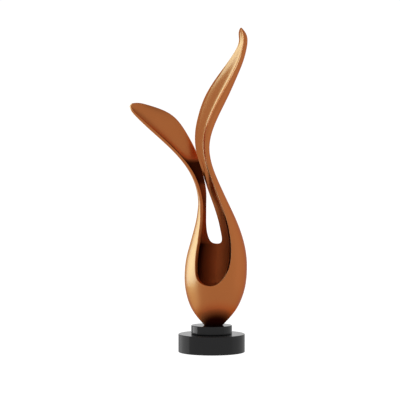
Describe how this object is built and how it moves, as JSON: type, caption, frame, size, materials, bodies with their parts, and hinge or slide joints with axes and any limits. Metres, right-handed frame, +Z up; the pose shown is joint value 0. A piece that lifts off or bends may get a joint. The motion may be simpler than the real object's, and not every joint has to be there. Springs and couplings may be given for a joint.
{
  "type": "abstract tabletop sculpture",
  "caption": "Satin copper bud, hollow and open at the front, that rises into a low left petal and a tall right petal on a stepped round black plinth.",
  "frame": {"origin": "centre of the plinth's underside", "axes": "+Z up, -Y towards the front, +X to the right as seen from the front"},
  "size_m": [0.1771, 0.1, 0.486],
  "materials": {
    "copper": "satin copper bronze, smoothly polished, warm brown orange",
    "plinth_black": "satin black, honed smooth with a small bevel"
  },
  "bodies": {
    "root": {"plinth_base": "plinth_black", "plinth_step": "plinth_black", "bud_with_petals": "copper"}
  },
  "joints": []
}
